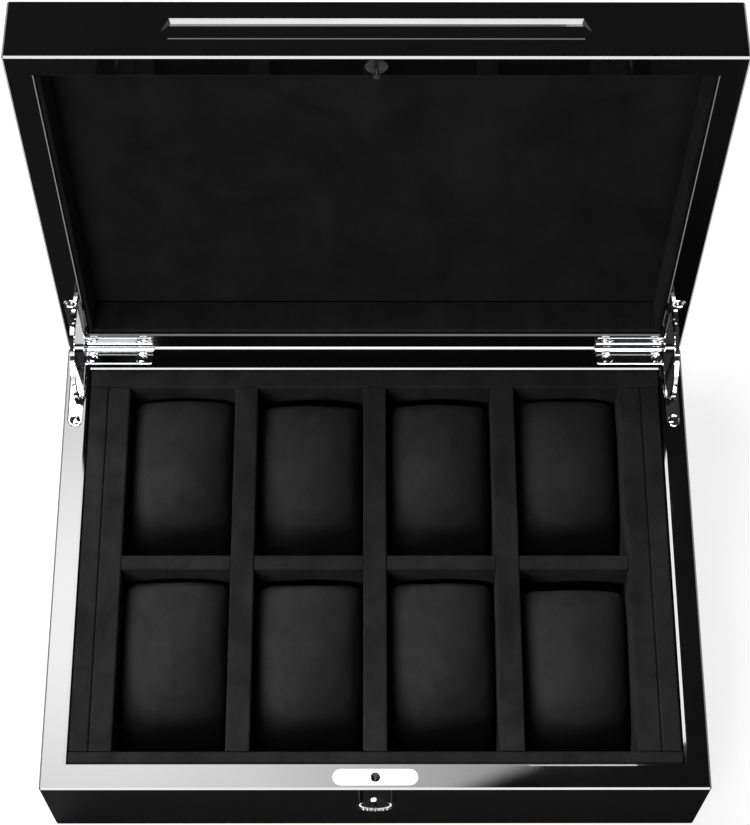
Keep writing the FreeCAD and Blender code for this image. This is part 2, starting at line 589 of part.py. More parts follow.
CASE_X = "lock_case_length / 2"
CASE_Y = "lock_case_width / 2"
case_block = box("case_block", (f"-{CASE_X}", CASE_X), (f"{LOCK_Y} - {CASE_Y}", f"{LOCK_Y} + {CASE_Y}"),
                 (CASE_BOTTOM, LOCK_PLATE_BOTTOM))
case_hollow = box("case_hollow", (f"lock_case_wall - {CASE_X}", f"{CASE_X} - lock_case_wall"),
                  (f"{LOCK_Y} - {CASE_Y} + lock_case_wall", f"{LOCK_Y} + {CASE_Y} - lock_case_wall"),
                  (f"{CASE_BOTTOM} + lock_case_wall", f"{LOCK_PLATE_BOTTOM} + cut_over"))
plug_hole = cylinder("plug_hole", "plug_diameter / 2 + plug_fit", f"{CASE_Y} + cut_over",
                     "0", f"{LOCK_Y} - {CASE_Y} - cut_over", KEY_Z, ALONG_Y)
keep(cut_all("lock_case", case_block, [case_hollow, plug_hole]), "lock_case")

BOLT_TRAVEL = f"2 * {CAM_SIDE}"
BOLT_LOW_X = f"(-lock_case_length / 2 + lock_case_wall + bolt_gap + {BOLT_TRAVEL})"
BOLT_HIGH_X = f"({BOLT_TRAVEL} + lock_hole / 2 + bolt_thickness)"
BOLT_SIDE = f"({CASE_Y} - lock_case_wall - bolt_gap)"
bolt_slide = box("bolt_slide", (BOLT_LOW_X, BOLT_HIGH_X),
                 (f"{LOCK_Y} - {BOLT_SIDE}", f"{LOCK_Y} + {BOLT_SIDE}"), (BOLT_BOTTOM, BOLT_TOP))
bolt_tail = box("bolt_tail", ("-bolt_tail_width / 2", "bolt_tail_width / 2"), (TAIL_FRONT, TAIL_BACK),
                (f"{CASE_BOTTOM} + lock_case_wall + bolt_gap", BOLT_TOP))
CAM_ROOM = "(cam_diameter / 2 + cam_gap)"
cam_slot = box("cam_slot", (f"{CAM_SIDE} - {CAM_ROOM}", f"{CAM_SIDE} + {CAM_ROOM}"),
               (f"{TAIL_FRONT} - bolt_gap", f"{TAIL_BACK} + bolt_gap"), (CASE_BOTTOM, KEY_Z))
head_hole = cylinder("head_hole", "stud_head / 2 + stud_head_gap", "bolt_thickness + 2 * bolt_gap",
                     "0", LOCK_Y, f"{BOLT_BOTTOM} - bolt_gap")
neck_slot = box("neck_slot", ("0", BOLT_TRAVEL),
                (f"{LOCK_Y} - stud_neck / 2 - stud_gap", f"{LOCK_Y} + stud_neck / 2 + stud_gap"),
                (f"{BOLT_BOTTOM} - bolt_gap", f"{BOLT_TOP} + bolt_gap"))
neck_end = cylinder("neck_end", "stud_neck / 2 + stud_gap", "bolt_thickness + 2 * bolt_gap",
                    BOLT_TRAVEL, LOCK_Y, f"{BOLT_BOTTOM} - bolt_gap")
bolt_solid = fuse("bolt_solid", [bolt_slide, bolt_tail])
keep(cut_all("lock_bolt", bolt_solid, [cam_slot, head_hole, neck_slot, neck_end]), "lock_bolt")

FRONT_FACE = f"(-{HALF_Y} - front_plate_thickness)"
PLUG_FRONT = f"({FRONT_FACE} + front_plate_dish)"
PLUG_END = f"({TAIL_FRONT} - bolt_gap)"
plug_barrel = cylinder("plug_barrel", "plug_diameter / 2", f"{PLUG_END} - {PLUG_FRONT}",
                       "0", PLUG_FRONT, KEY_Z, ALONG_Y)
cam_pin = cylinder("cam_pin", "cam_diameter / 2", f"{TAIL_BACK} - {PLUG_END}",
                   CAM_SIDE, PLUG_END, f"{KEY_Z} - {CAM_DROP}", ALONG_Y)
key_slot = box("key_slot", ("-key_slot_width / 2", "key_slot_width / 2"),
               (f"{PLUG_FRONT} - cut_over", f"{PLUG_FRONT} + key_slot_depth"),
               (f"{KEY_Z} - key_slot_length / 2", f"{KEY_Z} + key_slot_length / 2"))
keep(cut("lock_plug", fuse("plug_solid", [plug_barrel, cam_pin]), key_slot), "lock_plug")

PLUG_BORE = "plug_diameter / 2 + plug_fit"
SLEEVE_RADIUS = f"{PLUG_BORE} + front_plate_sleeve"
CASE_FRONT = f"({LOCK_Y} - {CASE_Y})"
SLEEVE_LENGTH = f"({CASE_FRONT} - {FRONT_FACE})"
plate_disc = cylinder("plate_disc", "front_plate_diameter / 2", "front_plate_thickness",
                      "0", FRONT_FACE, KEY_Z, ALONG_Y)
plate_sleeve = cylinder("plate_sleeve", SLEEVE_RADIUS, SLEEVE_LENGTH, "0", FRONT_FACE, KEY_Z, ALONG_Y)
plate_dish = cylinder("plate_dish", "front_plate_diameter / 2 - front_plate_rim",
                      "front_plate_dish + cut_over", "0", f"{FRONT_FACE} - cut_over", KEY_Z, ALONG_Y)
plate_bore = cylinder("plate_bore", PLUG_BORE, f"{SLEEVE_LENGTH} + 2 * cut_over",
                      "0", f"{FRONT_FACE} - cut_over", KEY_Z, ALONG_Y)
front_plate_solid = fuse("front_plate_solid", [plate_disc, plate_sleeve])
keep(cut_all("lock_front_plate", front_plate_solid, [plate_dish, plate_bore]), "lock_front_plate")

# Catch stud, screwed into the lid's front rim: flange, neck and head below it, shank above it

STUD_TOP = f"({LID_RIM} + leaf_flush)"
STUD_NECK_END = f"({LID_RIM} - stud_neck_length)"
stud_pieces = [
    cylinder("stud_flange_disc", "stud_flange / 2", "stud_flange_thickness", "0", LOCK_Y, STUD_TOP),
    cylinder("stud_shank_rod", "stud_shank / 2", "stud_shank_length", "0", LOCK_Y, STUD_TOP),
    cylinder("stud_neck_rod", "stud_neck / 2", f"{STUD_TOP} - {STUD_NECK_END}", "0", LOCK_Y, STUD_NECK_END),
    cylinder("stud_head_disc", "stud_head / 2", "stud_head_length", "0", LOCK_Y,
             f"{STUD_NECK_END} - stud_head_length"),
]
keep(fuse("catch_stud", stud_pieces), "catch_stud", LID_OPEN)
stud_room = [
    cylinder("flange_room", "stud_flange / 2 + inlay_gap", "stud_flange_thickness + leaf_flush + cut_over",
             "0", LOCK_Y, f"{LID_RIM} - cut_over"),
    cylinder("shank_room", "stud_shank / 2 + screw_gap", "stud_shank_length + leaf_flush",
             "0", LOCK_Y, LID_RIM),
]

# Finger groove in the lid's front: an outline with pointed ends that narrows to a line at its bottom

def groove_solid():
    front = -value(HALF_Y)
    bottom = front + value("groove_depth")
    bottom_height = value(f"{LID_RIM} + groove_high - groove_slant")
    half = value("groove_half_length")
    tip = half + value("groove_point")
    outline = [(-half, "groove_high"), (half, "groove_high"), (tip, "groove_point_height"),
               (half, "groove_low"), (-half, "groove_low"), (-tip, "groove_point_height")]
    corners = [Vector(x, front, value(f"{LID_RIM} + {height}")) for x, height in outline]
    bottom_half = half - value("groove_inset")
    left = Vector(-bottom_half, bottom, bottom_height)
    right = Vector(bottom_half, bottom, bottom_height)
    rings = [
        corners,
        [corners[0], corners[1], right, left],
        [corners[1], corners[2], right],
        [corners[2], corners[3], right],
        [corners[3], corners[4], left, right],
        [corners[4], corners[5], left],
        [corners[5], corners[0], left],
    ]
    faces = [Part.Face(Part.makePolygon(ring + ring[:1])) for ring in rings]
    return Part.Solid(Part.Shell(faces))


finger_groove = doc.addObject("Part::Feature", "finger_groove")
finger_groove.Shape = groove_solid()

# Wall boards of the base and the lid, with the cuts for hinges, lock and groove

ROOM = "inlay_gap"
lock_room = [
    stadium("lock_inlay", f"(lock_plate_length + 2 * {ROOM})", f"(lock_plate_width + 2 * {ROOM})",
            LOCK_PLATE_BOTTOM, "base_height + cut_over"),
    box("case_room", (f"-{CASE_X} - {ROOM}", f"{CASE_X} + {ROOM}"),
        (f"{LOCK_Y} - {CASE_Y} - {ROOM}", f"{LOCK_Y} + {CASE_Y} + {ROOM}"),
        (f"{CASE_BOTTOM} - {ROOM}", "base_height + cut_over")),
    cylinder("sleeve_room", f"{SLEEVE_RADIUS} + {ROOM}", f"{CASE_FRONT} + {HALF_Y} + cut_over",
             "0", f"-{HALF_Y} - cut_over", KEY_Z, ALONG_Y),
] + sunk_holes("lock_shank", RIVETS, LEAF_TOP, "lock_plate_thickness", "0")

# Tilted blocks that plane edges: shallow bevels inside the base's rims, a line in the lid's side rims that
# rises towards the inside, and the groove's lower edge


def plane_block(name, size, x, y, z, turn):
    item = doc.addObject("Part::Box", name)
    bind(item, Length=size[0], Width=size[1], Height=size[2])
    return at(item, x, y, z, turn)


side_bevel = plane_block("side_bevel", ("cut_over", "outer_depth", "cut_over"),
                         f"-{IN_X} - side_bevel_width", f"-{HALF_Y}", "base_height",
                         Rotation(Vector(0, 1, 0), value("side_bevel_slope")))
front_bevel = plane_block("front_bevel", ("outer_width", "cut_over", "cut_over"),
                          f"-{HALF_X}", f"-{IN_Y} - front_bevel_width", "base_height",
                          Rotation(Vector(1, 0, 0), -value("front_bevel_slope")))
lid_line = plane_block("lid_line", ("lid_line_width / cos(lid_line_slope)", "outer_depth", "cut_over"),
                       f"-{IN_X} - lid_line_width - cut_over * sin(lid_line_slope)", f"-{HALF_Y}",
                       f"{LID_RIM} + lid_line_width * tan(lid_line_slope) - cut_over * cos(lid_line_slope)",
                       Rotation(Vector(0, 1, 0), value("lid_line_slope")))
groove_lip = plane_block("groove_lip_block", ("2 * groove_half_length", "cut_over", "2 * groove_lip"),
                         "-groove_half_length", f"-{HALF_Y} - cut_over * cos(groove_lip_slope)",
                         f"{LID_RIM} + groove_low - groove_lip + cut_over * sin(groove_lip_slope)",
                         Rotation(Vector(1, 0, 0), -value("groove_lip_slope")))

base_front = mitred_wall("base_front", base_frame, HALF_X, HALF_Y, *BASE_SPAN, 0)
keep(cut_all("base_front_wall", base_front, lock_room + [front_bevel]), "base_front_wall")
base_back = mitred_wall("base_back", base_frame, HALF_X, HALF_Y, *BASE_SPAN, 180)
keep(cut_all("base_back_wall", base_back, [hinge_tool, hinge_tool_right]), "base_back_wall")
base_left = mitred_wall("base_left", base_frame, HALF_Y, HALF_X, *BASE_SPAN, -90)
base_left_wall = keep(cut_all("base_left_wall", base_left, [hinge_tool, side_bevel]), "base_left_wall")
keep(mirror_side("base_right_wall", base_left_wall), "base_right_wall")

lid_front = mitred_wall("lid_front", lid_frame, HALF_X, HALF_Y, *LID_SPAN, 0)
keep(cut_all("lid_front_wall", lid_front, [finger_groove, groove_lip] + stud_room), "lid_front_wall", LID_OPEN)
lid_back = mitred_wall("lid_back", lid_frame, HALF_X, HALF_Y, *LID_SPAN, 180)
keep(cut_all("lid_back_wall", lid_back, [hinge_tool_lid, hinge_tool_lid_right]), "lid_back_wall", LID_OPEN)
lid_left = mitred_wall("lid_left", lid_frame, HALF_Y, HALF_X, *LID_SPAN, -90)
lid_left_cut = cut_all("lid_left_wall", lid_left, [hinge_tool_lid, lid_line])
lid_left_wall = keep(lid_left_cut, "lid_left_wall", LID_OPEN)
keep(mirror_side("lid_right_wall", lid_left_wall), "lid_right_wall")

ACROSS = (f"-{IN_X}", IN_X)
ALONG = (f"-{IN_Y}", IN_Y)
keep(box("base_floor", ACROSS, ALONG, ("felt_thickness", FLOOR_TOP)), "base_floor")
keep(box("base_felt", (f"felt_margin - {HALF_X}", f"{HALF_X} - felt_margin"),
         (f"felt_margin - {HALF_Y}", f"{HALF_Y} - felt_margin"), ("0", "felt_thickness")), "base_felt")
keep(block_body("lid_top_board", ACROSS, ALONG, (LID_BOARD, LID_TOP)), "lid_top_board", LID_OPEN)
keep(block_body("lid_panel", ACROSS, ALONG, (LID_PAD, LID_BOARD)), "lid_panel", LID_OPEN)

# Velvet linings: the front and back ones take the full width, the side ones stand between them

LINING_SPAN = (FLOOR_TOP, LINING_TOP)
LINING_OUT = f"({IN_X} - lining_gap)"
LINING_ACROSS = (f"-{LINING_OUT}", LINING_OUT)
velvet_board("front_lining", LINING_ACROSS, (f"lining_gap - {IN_Y}", CELL_FRONT), LINING_SPAN, True, False)
velvet_board("back_lining", LINING_ACROSS, (CELL_BACK, IN_Y), LINING_SPAN, True, False)
BETWEEN = (f"{CELL_FRONT} + seam_gap", f"{CELL_BACK} - seam_gap")
velvet_board("left_lining", (f"-{LINING_OUT}", f"-{LINING_X}"), BETWEEN, LINING_SPAN, False, True)
velvet_board("right_lining", (LINING_X, LINING_OUT), BETWEEN, LINING_SPAN, False, True)

LID_LINING_SPAN = (f"{LID_RIM} + lining_drop", LID_PAD)
STRIP_Y = f"({IN_Y} - lid_lining)"
STRIP_X = f"({IN_X} - lid_lining)"
velvet_board("lid_front_lining", ACROSS, (f"-{IN_Y}", f"-{STRIP_Y}"), LID_LINING_SPAN, True, False,
             LID_OPEN, "down")
velvet_board("lid_back_lining", ACROSS, (STRIP_Y, IN_Y), LID_LINING_SPAN, True, False, LID_OPEN, "down")
LID_BETWEEN = (f"seam_gap - {STRIP_Y}", f"{STRIP_Y} - seam_gap")
velvet_board("lid_left_lining", (f"-{IN_X}", f"-{STRIP_X}"), LID_BETWEEN, LID_LINING_SPAN, False, True,
             LID_OPEN, "down")
velvet_board("lid_right_lining", (STRIP_X, IN_X), LID_BETWEEN, LID_LINING_SPAN, False, True, LID_OPEN, "down")

# Tray: floor, end boards, dividers from front to back and short dividers across

keep(box("tray_floor_board", (f"-{TRAY_X}", TRAY_X), BETWEEN, (FLOOR_TOP, TRAY_TOP)), "tray_floor_board")
TRAY_SPAN = (TRAY_TOP, LINING_TOP)
velvet_board("tray_left_end", (f"-{TRAY_X}", f"tray_end - {TRAY_X}"), BETWEEN, TRAY_SPAN, False, True)
velvet_board("tray_right_end", (f"{TRAY_X} - tray_end", TRAY_X), BETWEEN, TRAY_SPAN, False, True)


def cell_left(column):
    """Where a column of compartments starts, counted from the left."""
    return f"(tray_end - {TRAY_X} + {column} * ({CELL_WIDTH} + divider))"


COLUMNS = range(4)
for column in COLUMNS[1:]:
    velvet_board(f"tray_divider_{column}", (f"{cell_left(column)} - divider", cell_left(column)),
                 BETWEEN, TRAY_SPAN, False, True)
ROW_MIDDLE = f"(({CELL_BACK} + {CELL_FRONT}) / 2)"
CROSS_Y = (f"{ROW_MIDDLE} - cross_divider / 2", f"{ROW_MIDDLE} + cross_divider / 2")
for column in COLUMNS:
    velvet_board(f"cross_divider_{column + 1}",
                 (f"{cell_left(column)} + seam_gap", f"{cell_left(column)} + {CELL_WIDTH} - seam_gap"),
                 CROSS_Y, TRAY_SPAN, True, False)

# Watch pillows: a loft from the front end to the back end. Each section is flat below and has upright sides,
# round shoulders and an arched crown, flatter at the back end where the cover is folded over. Both ends roll
# down, the front one as far as the tray, the sides are drawn in a little, and the crown is past the middle.

PILLOW_LENGTH = f"({CELL_DEPTH} - pillow_play)"
PILLOW_HALF = f"({CELL_WIDTH} / 2 - pillow_side_gap)"
PILLOW_SECTIONS = [
    # place along the pillow, share of the waist, share from end height to crown, which end's height, arch
    (-0.5, 0.4, 0.0, "pillow_front_height", "pillow_arch"),
    (-0.46, 0.6, 0.40, "pillow_front_height", "pillow_arch"),
    (-0.38, 0.8, 0.68, "pillow_front_height", "pillow_arch"),
    (-0.22, 1.0, 0.90, "pillow_front_height", "pillow_arch"),
    (-0.08, 1.0, 0.97, "pillow_front_height", "pillow_arch"),
    (0.06, 1.0, 1.0, "pillow_front_height", "pillow_arch"),
    (0.2, 0.85, 0.96, "pillow_back_height", "(1.15 * pillow_arch)"),
    (0.32, 0.6, 0.86, "pillow_back_height", "(1.4 * pillow_arch)"),
    (0.42, 0.4, 0.70, "pillow_back_height", "(1.7 * pillow_arch)"),
    (0.47, 0.2, 0.47, "pillow_back_height", "(2.2 * pillow_arch)"),
    (0.5, 0.0, 0.0, "pillow_back_height", "(2.6 * pillow_arch)"),
]


def pillow_section(body, number, place, waist, rise, end_height, arch):
    """A closed outline across a pillow: base, side, shoulder, crown, shoulder, side, pinned at the ends."""
    plane = next(item for item in body.Origin.OriginFeatures if item.Role == "XZ_Plane")
    sketch = body.newObject("Sketcher::SketchObject", f"{body.Name}_section_{number}")
    sketch.AttachmentSupport = [(plane, "")]
    sketch.MapMode = "FlatFace"
    bind(sketch, AttachmentOffset__Base__z=f"-({place}) * {PILLOW_LENGTH}")
    half = f"({PILLOW_HALF} - {waist} * pillow_waist)"
    top = f"({end_height} + {rise} * (pillow_crown - {end_height}))"
    # The shoulder runs smoothly into the crown where the crown's slope has this sine and cosine.
    inner = f"({half} - pillow_shoulder)"
    sine = f"({inner} / ({arch} - pillow_shoulder))"
    cosine = f"sqrt(1 - {sine}^2)"
    crown_x = f"({arch} * {sine})"
    crown_y = f"({top} - {arch} * (1 - {cosine}))"
    side = f"({top} - {arch} + ({arch} - pillow_shoulder) * {cosine})"
    corners = [(f"-{half}", "0"), (half, "0"), (half, side), (crown_x, crown_y), (f"-{crown_x}", crown_y),
               (f"-{half}", side)]
    points = [Vector(value(across), value(height), 0) for across, height in corners]
    round_x = value(f"{inner} + pillow_shoulder * cos(acos({sine}) / 2)")
    round_y = value(f"{side} + pillow_shoulder * sin(acos({sine}) / 2)")
    arcs = {2: (Vector(round_x, round_y, 0), "pillow_shoulder"),
            3: (Vector(0, value(top), 0), arch),
            4: (Vector(-round_x, round_y, 0), "pillow_shoulder")}
    for index, start in enumerate(points):
        end = points[(index + 1) % len(points)]
        if index in arcs:
            sketch.addGeometry(Part.Arc(start, arcs[index][0], end))
        else:
            sketch.addGeometry(Part.LineSegment(start, end))
    for index, (across, height) in enumerate(corners):
        before = (index - 1) % len(corners)
        sketch.addConstraint(Sketcher.Constraint("Coincident", before, 2, index, 1))
        for kind, text in (("DistanceX", across), ("DistanceY", height)):
            pinned = sketch.addConstraint(Sketcher.Constraint(kind, -1, 1, index, 1, value(text)))
            sketch.setExpression(f"Constraints[{pinned}]", from_sheet(text))
    for index, (through, radius) in arcs.items():
        curved = sketch.addConstraint(Sketcher.Constraint("Radius", index, value(radius)))
        sketch.setExpression(f"Constraints[{curved}]", from_sheet(radius))
    return sketch


# Share of a pillow's play that lies behind it: the pillows stand a little unevenly, row by row from the left.
PILLOW_ROWS = [("back", CELL_BACK, (0.08, 0.48, 0.38, 0.08)),
               ("front", f"({ROW_MIDDLE} - cross_divider / 2)", (0.06, 0.36, 0.20, 0.84))]
for row, row_back, shares in PILLOW_ROWS:
    for column, share in zip(COLUMNS, shares):
        label = f"pillow_{row}_{column + 1}"
        body = doc.addObject("PartDesign::Body", label)
        sections = [pillow_section(body, number, *section) for number, section in enumerate(PILLOW_SECTIONS)]
        doc.recompute()
        loft = body.newObject("PartDesign::AdditiveLoft", label + "_loft")
        loft.Profile = sections[0]
        loft.Sections = sections[1:]
        at(body, f"{cell_left(column)} + {CELL_WIDTH} / 2",
           f"{row_back} - {share} * pillow_play - {PILLOW_LENGTH} / 2", f"{TRAY_TOP} + pillow_lift")
        keep(body, label)

doc.recompute()

# Every feature must have worked, and every sub-part must be a sound solid, before anything is written.
failed = [item.Name for item in doc.Objects if "Invalid" in item.State or "Error" in item.State]
if failed:
    raise RuntimeError("failed features: " + ", ".join(failed))
for item in pieces:
    if item.Shape.isNull() or not item.Shape.isValid() or not item.Shape.Solids:
        raise RuntimeError("unsound sub-part: " + item.Label)

os.makedirs("parts", exist_ok=True)
for item in pieces:
    item.Shape.exportStep(os.path.join("parts", item.Label + ".step"))
print(len(pieces), "sub-parts written")
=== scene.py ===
import math

import bmesh
import bpy
from mathutils import Matrix, Vector, noise


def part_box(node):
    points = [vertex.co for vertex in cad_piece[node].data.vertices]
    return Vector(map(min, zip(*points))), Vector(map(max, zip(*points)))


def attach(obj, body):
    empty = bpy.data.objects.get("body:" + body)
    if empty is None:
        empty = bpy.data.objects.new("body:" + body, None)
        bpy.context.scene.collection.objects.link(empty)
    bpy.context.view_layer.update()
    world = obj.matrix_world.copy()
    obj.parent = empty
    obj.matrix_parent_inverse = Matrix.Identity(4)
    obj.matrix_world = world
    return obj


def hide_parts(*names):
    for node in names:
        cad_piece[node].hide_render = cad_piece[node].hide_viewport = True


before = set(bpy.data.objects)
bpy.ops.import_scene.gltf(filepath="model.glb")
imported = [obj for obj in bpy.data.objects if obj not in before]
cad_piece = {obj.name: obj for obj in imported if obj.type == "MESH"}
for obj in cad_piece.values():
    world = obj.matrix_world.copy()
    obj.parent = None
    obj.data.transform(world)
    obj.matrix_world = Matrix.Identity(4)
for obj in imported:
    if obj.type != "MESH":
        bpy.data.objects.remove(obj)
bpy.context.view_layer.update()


def shader_node(tree, kind, values=(), **settings):
    """A shader node of this kind, with its settings and its unlinked inputs filled in."""
    made = tree.nodes.new("ShaderNode" + kind)
    for name, setting in settings.items():
        setattr(made, name, setting)
    for name, number in dict(values).items():
        made.inputs[name].default_value = number
    return made


def two_tone(tree, dark, light):
    """A mix of two colours: its factor and its result."""
    mix = tree.nodes.new("ShaderNodeMix")
    mix.data_type = "RGBA"
    mix.inputs[6].default_value = (*dark, 1.0)
    mix.inputs[7].default_value = (*light, 1.0)
    return mix.inputs["Factor"], mix.outputs[2]


def finish_material(name, values):
    """A material with a Principled shader, its plain values set on the shader's own sockets."""
    material = bpy.data.materials.new(name)
    material.use_nodes = True
    shader = material.node_tree.nodes["Principled BSDF"]
    for socket, number in values.items():
        shader.inputs[socket].default_value = number
    return material, material.node_tree, shader.inputs


def surface_effect(name, inputs, outputs):
    """A node group for an effect that several finishes share: its tree, its inputs and its outputs."""
    group = bpy.data.node_groups.new(name, "ShaderNodeTree")
    for label, number in inputs.items():
        socket = group.interface.new_socket(label, in_out="INPUT", socket_type="NodeSocketFloat")
        socket.default_value = number
    for label in outputs:
        group.interface.new_socket(label, in_out="OUTPUT", socket_type="NodeSocketFloat")
    return group, group.nodes.new("NodeGroupInput").outputs, group.nodes.new("NodeGroupOutput").inputs


def place_effect(tree, group, values):
    """The effect's group node in a material, with that material's own values."""
    placed = tree.nodes.new("ShaderNodeGroup")
    placed.node_tree = group
    for label, number in values.items():
        placed.inputs[label].default_value = number
    return placed.outputs


def wire(tree, *links):
    """Links outputs to inputs, given in pairs."""
    for source, target in links:
        tree.links.new(source, target)


def dress(material, *names):
    """Gives CAD pieces their finish."""
    for name in names:
        cad_piece[name].material_slots[0].material = material


# Polishing leaves long faint waves, cloudy smears and hair scratches, on lacquer as on plated metal.
polish_marks, given, put_out = surface_effect(
    "polish_marks",
    {"Smear Scale": 25.0, "Scratch Scale": 900.0, "Smoothest": 0.03, "Roughest": 0.1},
    ("Roughness", "Smear", "Waves"))
where = shader_node(polish_marks, "TexCoord").outputs["Object"]
smear = shader_node(polish_marks, "TexNoise", {"Detail": 5.0, "Roughness": 0.62, "Distortion": 0.6})
stroke = shader_node(polish_marks, "Mapping", {"Scale": (1.0, 0.06, 1.0), "Rotation": (0.3, 0.2, 0.5)})
scratch = shader_node(polish_marks, "TexNoise", {"Detail": 2.0, "Roughness": 0.5})
wave = shader_node(polish_marks, "TexNoise", {"Scale": 32.0, "Detail": 1.0, "Roughness": 0.4})
hairline = shader_node(polish_marks, "MapRange", {"From Min": 0.62, "From Max": 0.78})
marks = shader_node(polish_marks, "Math", {1: 0.5}, operation="MULTIPLY_ADD")
spread = shader_node(polish_marks, "MapRange", {"From Min": 0.3, "From Max": 1.0})
wire(polish_marks,
     (where, smear.inputs["Vector"]), (given["Smear Scale"], smear.inputs["Scale"]),
     (where, wave.inputs["Vector"]),
     (where, stroke.inputs["Vector"]), (stroke.outputs["Vector"], scratch.inputs["Vector"]),
     (given["Scratch Scale"], scratch.inputs["Scale"]),
     (scratch.outputs["Fac"], hairline.inputs["Value"]),
     (hairline.outputs["Result"], marks.inputs[0]), (smear.outputs["Fac"], marks.inputs[2]),
     (marks.outputs["Value"], spread.inputs["Value"]),
     (given["Smoothest"], spread.inputs["To Min"]), (given["Roughest"], spread.inputs["To Max"]),
     (spread.outputs["Result"], put_out["Roughness"]),
     (smear.outputs["Fac"], put_out["Smear"]), (wave.outputs["Fac"], put_out["Waves"]))

lacquer, tree, socket = finish_material("black_lacquer", {
    "IOR": 1.5, "Coat Weight": 1.0, "Coat Roughness": 0.015, "Coat IOR": 1.7})
polish = place_effect(tree, polish_marks, {
    "Smear Scale": 14.0, "Scratch Scale": 700.0, "Smoothest": 0.03, "Roughest": 0.09})
depth, depth_colour = two_tone(tree, (0.0015, 0.0015, 0.0017), (0.0044, 0.0043, 0.0046))
ripple = shader_node(tree, "Bump", {"Distance": 0.00004})
wire(tree, (polish["Smear"], depth), (depth_colour, socket["Base Color"]),
     (polish["Roughness"], socket["Roughness"]),
     (polish["Waves"], ripple.inputs["Height"]), (ripple.outputs["Normal"], socket["Normal"]))
dress(lacquer, "base_front_wall", "base_back_wall", "base_left_wall", "base_right_wall", "base_floor")


# Felt under the base
# A sheet of black wool felt, cut a little smaller than the box.
# It is glued under the walls and the floor board, so that the lacquer never touches the table.
felt, tree, socket = finish_material("black_felt", {
    "Specular IOR Level": 0.1, "Sheen Weight": 0.2, "Sheen Roughness": 0.6,
    "Sheen Tint": (0.6, 0.6, 0.62, 1)})
where = shader_node(tree, "TexCoord").outputs["Object"]
tuft = shader_node(tree, "TexNoise", {"Scale": 420.0, "Detail": 8.0, "Roughness": 0.75, "Distortion": 2.0})
wool, wool_colour = two_tone(tree, (0.006, 0.006, 0.007), (0.030, 0.029, 0.030))
matted = shader_node(tree, "MapRange", {"To Min": 0.98, "To Max": 0.86})
fuzz = shader_node(tree, "Bump", {"Distance": 0.0004})
wire(tree, (where, tuft.inputs["Vector"]), (tuft.outputs["Fac"], wool), (wool_colour, socket["Base Color"]),
     (tuft.outputs["Fac"], matted.inputs["Value"]), (matted.outputs["Result"], socket["Roughness"]),
     (tuft.outputs["Fac"], fuzz.inputs["Height"]), (fuzz.outputs["Normal"], socket["Normal"]))
dress(felt, "base_felt")


# Lining boards and tray of the base
# Thin boards wrapped in black velvet, folded over their top edges and glued behind.
# The four linings stand against the walls, and the tray's ends and dividers are slotted together.
VELVET_SHEEN = 0.03

# The pile leans this way and that where hands have brushed it, which shows as soft lighter clouds.
# A finish may also paint shade on it where the surface faces away from the light, up, back and to the left.
PAINTED_LIGHT_FROM = (-0.40, 0.41, 0.82)
TURNED_AWAY, TURNED_TOWARDS = 0.30, 0.90
nap_and_shade, given, put_out = surface_effect(
    "nap_and_shade", {"Cloud Scale": 30.0, "Stroke Scale": 60.0, "Pile Scale": 1500.0, "Pile Share": 0.3,
            "Least Lean": 0.0, "Turned Away": 1.0},
    ("Lean And Shade", "Pile", "Roughness"))
placed = shader_node(nap_and_shade, "TexCoord").outputs
where = placed["Object"]
cloud = shader_node(nap_and_shade, "TexNoise", {"Detail": 4.0, "Roughness": 0.58, "Distortion": 1.0})
sweep = shader_node(nap_and_shade, "Mapping", {"Scale": (1.0, 0.25, 0.4), "Rotation": (0.7, 0.75, 0.4)})
stroke = shader_node(nap_and_shade, "TexNoise", {"Detail": 3.0, "Roughness": 0.6})
pile = shader_node(nap_and_shade, "TexNoise", {"Detail": 3.0, "Roughness": 0.72})
brushed = shader_node(nap_and_shade, "Mix", {"Factor": 0.42})
with_pile = shader_node(nap_and_shade, "Mix")
lean = shader_node(nap_and_shade, "MapRange", {"From Min": 0.36, "From Max": 0.64})
dull = shader_node(nap_and_shade, "MapRange", {"To Min": 0.96, "To Max": 0.78})
# Painted shade: the lighter colour's share falls where the surface turns away from the light's side.
turned = shader_node(nap_and_shade, "VectorMath", {1: PAINTED_LIGHT_FROM}, operation="DOT_PRODUCT")
towards = shader_node(nap_and_shade, "MapRange", {"From Min": TURNED_AWAY, "From Max": TURNED_TOWARDS})
lean_and_painted_shade = shader_node(nap_and_shade, "Math", operation="MULTIPLY")
wire(nap_and_shade,
     (where, cloud.inputs["Vector"]), (given["Cloud Scale"], cloud.inputs["Scale"]),
     (where, sweep.inputs["Vector"]), (sweep.outputs["Vector"], stroke.inputs["Vector"]),
     (given["Stroke Scale"], stroke.inputs["Scale"]),
     (where, pile.inputs["Vector"]), (given["Pile Scale"], pile.inputs["Scale"]),
     (cloud.outputs["Fac"], brushed.inputs[2]), (stroke.outputs["Fac"], brushed.inputs[3]),
     (brushed.outputs[0], with_pile.inputs[2]), (pile.outputs["Fac"], with_pile.inputs[3]),
     (given["Pile Share"], with_pile.inputs[0]),
     (with_pile.outputs[0], lean.inputs["Value"]), (given["Least Lean"], lean.inputs["To Min"]),
     (placed["Normal"], turned.inputs[0]), (turned.outputs["Value"], towards.inputs["Value"]),
     (given["Turned Away"], towards.inputs["To Min"]),
     (lean.outputs["Result"], lean_and_painted_shade.inputs[0]), (towards.outputs["Result"], lean_and_painted_shade.inputs[1]),
     (lean_and_painted_shade.outputs[0], put_out["Lean And Shade"]),
     (pile.outputs["Fac"], put_out["Pile"]),
     (lean.outputs["Result"], dull.inputs["Value"]), (dull.outputs["Result"], put_out["Roughness"]))


